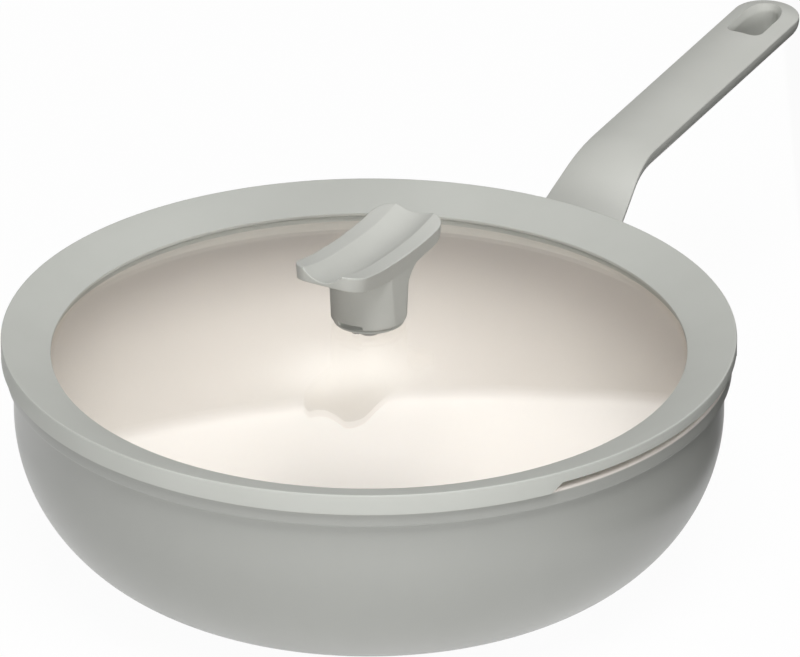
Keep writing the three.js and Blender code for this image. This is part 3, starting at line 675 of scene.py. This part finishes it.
# %% Lid glass
HOLE_R, VENT_R, VENT_X = 4.2 * MM, 2.2 * MM, -9 * MM
out = np.linspace(HOLE_R, glass_r - GLASS_T / 4, 60)
upper = np.column_stack([out, dome_z(out, dome_r)])
lower = np.column_stack([out, dome_z(out, dome_r - GLASS_T)])[::-1]
nose = eased(upper[-1], np.array([glass_r, (upper[-1, 1] + lower[0, 1]) / 2 + GLASS_T / 4]),
             np.array([glass_r, lower[0, 1]]), np.array([GLASS_T / 5]))
tail = eased(np.array([glass_r, upper[-1, 1]]),
             np.array([glass_r, (upper[-1, 1] + lower[0, 1]) / 2 - GLASS_T / 4]), lower[0],
             np.array([GLASS_T / 5]))
sheet = np.concatenate([upper, nose, tail, lower])
glass = shell("lid_dome", turned(sheet, full_turn(ROUND_STEPS)), wrap_rows=True)
vent_low, vent_high = 0.9 * glass_z, 1.1 * glass_z
vent = np.array([(0, vent_low), (VENT_R, vent_low), (VENT_R, vent_high), (0, vent_high)])
combine(glass, shell("vent_tool", turned(vent, full_turn(32)) + np.array([VENT_X, 0, 0])))
tidy_mesh(glass.data, SHARP)
dress(glass, "lid", "lid_glass", clear_glass)

# %% [markdown]
# ## The knob
# The knob is a stem with two narrow flats that carries a spoon rest with turned-up ends and a trough
# down its middle. Only on the far side does the stem flare out under the rest. Two shells, the rest
# and the stem, are joined, the trough and the hollows under the foot are cut, and a fine remesh with
# a little smoothing gives every edge the small radius that a moulding has.

# %% Knob rest and stem
REST_CORNER_R, REST_TOP_H, REST_RISE, RISE_POWER = 9 * MM, 29.7 * MM, 4.2 * MM, 2.6
REST_END_T, REST_MID_T, FLARE_R, FLARE_DROP = 6.2 * MM, 7.5 * MM, 30 * MM, 5.5 * MM
FOOT_R, TOP_R, FLAT, FOOT_EASE = 15.2 * MM, 16.3 * MM, 14.8 * MM, 1 * MM
REST_STEPS, ACROSS_STEPS, STEM_STEPS = 121, 25, 240


def rest_top(x):
    """Level over the stem, rising as a power of the distance from it."""
    return foot_z + REST_TOP_H + REST_RISE * np.abs(x / rest_l) ** RISE_POWER


def rest_under(x):
    return rest_top(x) - REST_MID_T + (REST_MID_T - REST_END_T) * (x / rest_l) ** 2


x = rest_l * np.sin(np.radians(np.linspace(-90, 90, REST_STEPS)))
past = np.clip(np.abs(x) - (rest_l - REST_CORNER_R), 0, REST_CORNER_R)
half = (rest_w - REST_CORNER_R + np.sqrt(REST_CORNER_R ** 2 - past ** 2))[:, None]
across = np.linspace(-1, 1, ACROSS_STEPS)[None, :]
upper = np.stack(np.broadcast_arrays(x[:, None], half * across, rest_top(x)[:, None]), -1)
lean = FLAT / rest_w + (1 - FLAT / rest_w) * np.clip((rest_under(x) - rest_under(0)) / REST_MID_T, 0, 1)
lower = np.stack(np.broadcast_arrays(x[:, None], -half * lean[:, None] * across,
                                     rest_under(x)[:, None]), -1)
knob = shell("knob", np.concatenate([upper, lower], axis=1))

flare_low, flare_high = rest_under(0) - FLARE_DROP, rest_under(FLARE_R)
z = np.concatenate([[foot_z], foot_z + FOOT_EASE * np.linspace(0.05, 1, 6),
                    np.linspace(foot_z + 2 * FOOT_EASE, flare_low, 14),
                    np.linspace(flare_low, flare_high, 26)[1:]])
stem = FOOT_R + (TOP_R - FOOT_R) * np.clip((z - foot_z) / (REST_TOP_H - REST_MID_T / 2), 0, 1)
rounding = np.clip(1 - (z - foot_z) / FOOT_EASE, 0, 1)
stem = stem - FOOT_EASE * (1 - np.sqrt(1 - rounding ** 2))
height = np.clip((z - flare_low) / (flare_high - flare_low), 0, 1)
flare = FLARE_R - (FLARE_R - TOP_R) * np.sqrt(1 - height ** 2)
a = full_turn(STEM_STEPS)
far = (np.cos(a) > 0)[None, :]
swept = np.where(far & (height > 0)[:, None], np.maximum(flare, stem)[:, None], stem[:, None])
r = np.minimum(swept, FLAT / np.maximum(np.abs(np.sin(a)), 1e-6)[None, :])
stem_grid = np.stack([r * np.cos(a), r * np.sin(a), z[:, None] + 0 * r], -1)
combine(knob, shell("stem_tool", stem_grid), "UNION")
print("knob joined:", len(knob.data.polygons), "faces")

# %% [markdown]
# The trough is a round scoop that follows the rest's curve and is deeper at the near end. Under the
# foot lie a ring-shaped steam room, the bore of the threaded insert and the steam mouth, whose floor
# rises inwards to a low sill.

# %% Knob trough and hollows
TROUGH_HALF_W, TROUGH_DEPTH, TROUGH_FAR_DEPTH = 8.9 * MM, 4.6 * MM, 2.2 * MM
RUN_PAST, RUN_STEPS, POST_WALL = 1.2, 97, 1 * MM
STEAM_W, STEAM_H, SILL_RISE = 11 * MM, 2.1 * MM, 0.9 * MM
ROOM_R, ROOM_H, INSERT_R = 12.4 * MM, 3 * MM, 5 * MM
run = np.linspace(-RUN_PAST * rest_l, RUN_PAST * rest_l, RUN_STEPS)[:, None]
depth = TROUGH_DEPTH + (TROUGH_FAR_DEPTH - TROUGH_DEPTH) * (run / rest_l + 1) / 2
scoop_r = (TROUGH_HALF_W ** 2 + depth ** 2) / (2 * depth)
a = full_turn(180)[None, :]
scoop = np.stack(np.broadcast_arrays(run, scoop_r * np.cos(a),
                                     rest_top(run) + scoop_r - depth + scoop_r * np.sin(a)), -1)
combine(knob, shell("scoop_tool", scoop))
below = foot_z - 2 * MM
bore_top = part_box("knob_insert")[1].z + FIT
post_r = INSERT_R + 2 * FIT + POST_WALL
room_top = foot_z + ROOM_H
chamber = np.array([(post_r, below), (ROOM_R, below), (ROOM_R, room_top), (post_r, room_top)])
combine(knob, shell("chamber_tool", turned(chamber, full_turn(96)), wrap_rows=True))
bore = np.array([(0, below), (INSERT_R + FIT, below), (INSERT_R + FIT, bore_top), (0, bore_top)])
combine(knob, shell("bore_tool", turned(bore, full_turn(64))))
steam = block((-2 * FOOT_R, -ROOM_R), (-STEAM_W / 2, STEAM_W / 2), (foot_z, foot_z + STEAM_H))
steam[0, :, 2] += SILL_RISE + SILL_RISE * (ROOM_R + steam[0, :, 0]) / (FOOT_R - ROOM_R)
combine(knob, shell("steam_tool", steam))

VOXEL, SMOOTHING, ROUNDS, KNOB_SHARP = 0.36 * MM, 0.5, 4, 60.0
remesh = knob.modifiers.new("remesh", "REMESH")
remesh.mode, remesh.voxel_size = "VOXEL", VOXEL
soft = knob.modifiers.new("soften", "SMOOTH")
soft.factor, soft.iterations = SMOOTHING, ROUNDS
keep_result(knob)
tidy_mesh(knob.data, KNOB_SHARP)
dress(knob, "lid", "lid_knob", moulded_grey)

# %% [markdown]
# The seal under the knob's foot shows as a thin ring, so it is turned again with a rounded edge and
# drilled at the vent.

# %% Knob seal
seal_low, seal_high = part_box("knob_gasket")[0].z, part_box("knob_gasket")[1].z
SHANK_HOLE_R = 2.3 * MM
seal_edge = soften([(SHANK_HOLE_R, seal_low), (seal_r, seal_low), (seal_r, seal_high),
                    (SHANK_HOLE_R, seal_high)], np.array([0.1, 0.4, 0.4, 0.1]) * MM)
seal = shell("knob_seal", turned(seal_edge, full_turn(144)), wrap_rows=True)
combine(seal, shell("vent_tool", turned(vent, full_turn(32)) + np.array([VENT_X, 0, 0])))
tidy_mesh(seal.data, SHARP)
dress(seal, "lid", "knob_gasket", silicone_grey)

# %% [markdown]
# ## Small hardware
# The bracket, screws, washers, insert and grommet keep their CAD shapes, which are right as they are.
# Each only gets its metal or silicone finish.

# %% Finishes for the CAD hardware
hardware = {"handle_bracket": cast, "handle_screw": steel, "handle_lock_washer": steel,
            "knob_insert": brass, "knob_grommet": silicone_grey, "knob_washer": steel,
            "knob_screw": steel}
for node, material in hardware.items():
    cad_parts[node].data.materials.clear()
    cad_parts[node].data.materials.append(material)
print("hardware finished:", len(hardware), "nodes")

# %% [markdown]
# ## Studio
# The product stands on a white sweep. The floor is white to the camera and to reflections and still
# takes a soft shadow, because a small part of it stays an ordinary pale surface. The world is white to
# the same rays and gives all others only a weak, even light.

# %% Floor and world
FLOOR_HALF, FLOOR_GAP, FLOOR_GLOW = 6.0, 0.3 * MM, 0.96
FLOOR_PALE, DULL, AMBIENT = 0.92, 0.9, 0.16


def to_viewer(tree):
    """1 for camera, glossy and transmission rays, which see the white background."""
    rays = tree.nodes.new("ShaderNodeLightPath")
    total = None
    for label in ("Is Camera Ray", "Is Glossy Ray", "Is Transmission Ray"):
        if total is None:
            total = rays.outputs[label]
            continue
        either = tree.nodes.new("ShaderNodeMath")
        either.operation = "MAXIMUM"
        link(tree, total, either.inputs[0])
        link(tree, rays.outputs[label], either.inputs[1])
        total = either.outputs["Value"]
    return total


corner = FLOOR_HALF * np.array([(-1, -1), (1, -1), (1, 1), (-1, 1)])
floor_mesh = bpy.data.meshes.new("studio_floor")
floor_mesh.from_pydata(np.column_stack([corner, np.full(4, -FLOOR_GAP)]).tolist(), [], [(0, 1, 2, 3)])
floor = bpy.data.objects.new("studio_floor", floor_mesh)
bpy.context.scene.collection.objects.link(floor)
sweep, tree, shader = finish("white sweep")
shader.inputs["Base Color"].default_value = (FLOOR_PALE, FLOOR_PALE, FLOOR_PALE, 1)
shader.inputs["Roughness"].default_value = DULL
glow = tree.nodes.new("ShaderNodeEmission")
share = tree.nodes.new("ShaderNodeMath")
share.operation = "MULTIPLY"
share.inputs[1].default_value = FLOOR_GLOW
link(tree, to_viewer(tree), share.inputs[0])
either = tree.nodes.new("ShaderNodeMixShader")
link(tree, share.outputs["Value"], either.inputs["Fac"])
link(tree, shader.outputs["BSDF"], either.inputs[1])
link(tree, glow.outputs["Emission"], either.inputs[2])
link(tree, either.outputs["Shader"], tree.nodes["Material Output"].inputs["Surface"])
floor_mesh.materials.append(sweep)

world = bpy.data.worlds.new("studio")
world.use_nodes = True
bpy.context.scene.world = world
tree = world.node_tree
strength = remap(tree, to_viewer(tree), 0, 1, AMBIENT, 1.0)
link(tree, strength, tree.nodes["Background"].inputs["Strength"])
tree.nodes["Background"].inputs["Color"].default_value = (1, 1, 1, 1)
print("floor glow", FLOOR_GLOW, "and ambient", AMBIENT)

# %% [markdown]
# The camera stands where the fitted one stood: 58.5 degrees round from the handle's line and 25.5
# degrees up, far away with a long lens, as product shots are. Lamps and cards are placed in the
# camera's own directions, so that left and right mean what the picture shows.

# %% Camera
VIEW_TURN, VIEW_DROP = math.radians(58.5), math.radians(25.52)
STAND = (0.0124, -3.6034, 1.8204)
LENS, SENSOR, CLIP_END = 450.0, 36.0, 50.0


def from_view(right, away, up):
    """A point given to the viewer's right, away from the viewer and up, turned into the frame's axes."""
    c, d = math.cos(VIEW_TURN), math.sin(VIEW_TURN)
    return Vector((right * c + away * d, away * c - right * d, up))


camera_data = bpy.data.cameras.new("camera")
camera_data.lens, camera_data.sensor_width, camera_data.sensor_fit = LENS, SENSOR, "HORIZONTAL"
camera_data.clip_end = CLIP_END
camera = bpy.data.objects.new("camera", camera_data)
camera.location = from_view(*STAND)
camera.rotation_euler = (math.pi / 2 - VIEW_DROP, 0, -VIEW_TURN)
bpy.context.scene.collection.objects.link(camera)
bpy.context.scene.camera = camera
bpy.context.scene.view_settings.view_transform = "Standard"
print("camera at", [round(v, 3) for v in camera.location])

# %% [markdown]
# Three lamps are enough. A large key stands steeply above and in front; it models the form and lights
# the bowl through the glass. A low fill at the front brightens upright faces. The panel behind is there
# only for its reflection, which whitens the near half of the glass, most of all in the middle, because
# its light keeps to a narrow cone.


# %% Lamps
def lamp(name, at, size, power):
    """A soft rectangular lamp that faces the middle of the rim, placed in the viewer's directions."""
    data = bpy.data.lights.new(name, "AREA")
    data.shape, data.size, data.size_y, data.energy = "RECTANGLE", *size, power
    obj = bpy.data.objects.new(name, data)
    obj.location = from_view(*at)
    aim = from_view(0, 0, rim_z) - obj.location
    obj.rotation_euler = aim.to_track_quat("-Z", "Y").to_euler()
    bpy.context.scene.collection.objects.link(obj)
    return obj


PANEL_SPREAD = math.radians(50)
lamp("key", at=(0.3, -1.6, 3.8), size=(2.2, 2.2), power=124.0)
lamp("fill", at=(0.6, -3.2, 0.7), size=(2.0, 0.9), power=44.0)
panel = lamp("panel", at=(0, 2.1, 2.2), size=(4.0, 2.0), power=2.3)
panel.data.spread = PANEL_SPREAD
panel.visible_diffuse = False

# %% [markdown]
# Two cards out of the picture shape what the surfaces mirror, as they do in a photo studio. The rear
# one glows softly and ends in a feathered edge in front of the panel, so the far half of the glass
# shows the lining evenly, up to a clear line where the white begins. It counts only in reflections.
# The black one takes light from the right, so that the wall darkens towards that side.

# %% Cards
REAR, FEATHER, REAR_GLOW = 2.0, 0.12, 0.3
BROW = ((-1.8, 1.82), (-0.6, 1.77), (-0.23, 1.745), (0.14, 1.64), (0.44, 1.52), (0.68, 1.35), (1.8, 0.9))
SIDE_NEAR, SIDE_FAR, SIDE_FOOT, SIDE_TOP = -0.7, 1.0, (0.185, 0.002), (0.45, 0.24)
CARD_BLACK, CARD_WORN = (0.01, 0.01, 0.01), (0.015, 0.015, 0.015)


def card_finish(name, glow):
    """Dull card, black or softly lit, that thins out where the attribute named fade rises to 1."""
    material, tree, shader = finish(name)
    tone = place(tree, handling).outputs["Tone"]
    link(tree, mixed(tree, tone, CARD_BLACK, CARD_WORN), shader.inputs["Base Color"])
    shader.inputs["Roughness"].default_value = DULL
    shader.inputs["Emission Color"].default_value = (1, 1, 1, 1)
    shader.inputs["Emission Strength"].default_value = glow
    fade = tree.nodes.new("ShaderNodeAttribute")
    fade.attribute_name = "fade"
    through = tree.nodes.new("ShaderNodeBsdfTransparent")
    either = tree.nodes.new("ShaderNodeMixShader")
    link(tree, fade.outputs["Fac"], either.inputs["Fac"])
    link(tree, shader.outputs["BSDF"], either.inputs[1])
    link(tree, through.outputs["BSDF"], either.inputs[2])
    link(tree, either.outputs["Shader"], tree.nodes["Material Output"].inputs["Surface"])
    return material


def flag(name, material, edges, fades):
    """A card between edges of points (right, away, up); each edge has its own fade."""
    columns = len(edges[0])
    points = [from_view(*point) for edge in edges for point in edge]
    starts = [i for i in range(len(points) - columns) if (i + 1) % columns]
    mesh = bpy.data.meshes.new(name)
    mesh.from_pydata(points, [], [(i, i + 1, i + 1 + columns, i + columns) for i in starts])
    mesh.attributes.new("fade", "FLOAT", "POINT").data.foreach_set("value", np.repeat(fades, columns))
    mesh.materials.append(material)
    card = bpy.data.objects.new(name, mesh)
    bpy.context.scene.collection.objects.link(card)
    card.visible_camera = card.visible_transmission = False
    return card


brow = np.array([(right, REAR, up) for right, up in BROW])
half_feather = (0, 0, FEATHER / 2)
rear = flag("rear_flag", card_finish("grey card", REAR_GLOW),
            [brow * (1, 1, 0), brow - half_feather, brow + half_feather], [0, 0, 1])
rear.visible_diffuse, rear.visible_transmission = False, True
side = [[(right, away, up) for away in (SIDE_NEAR, SIDE_FAR)] for right, up in (SIDE_FOOT, SIDE_TOP)]
flag("right_flag", card_finish("black card", 0.0), side, [0, 0])
print("cards:", rear.name, "and right_flag")
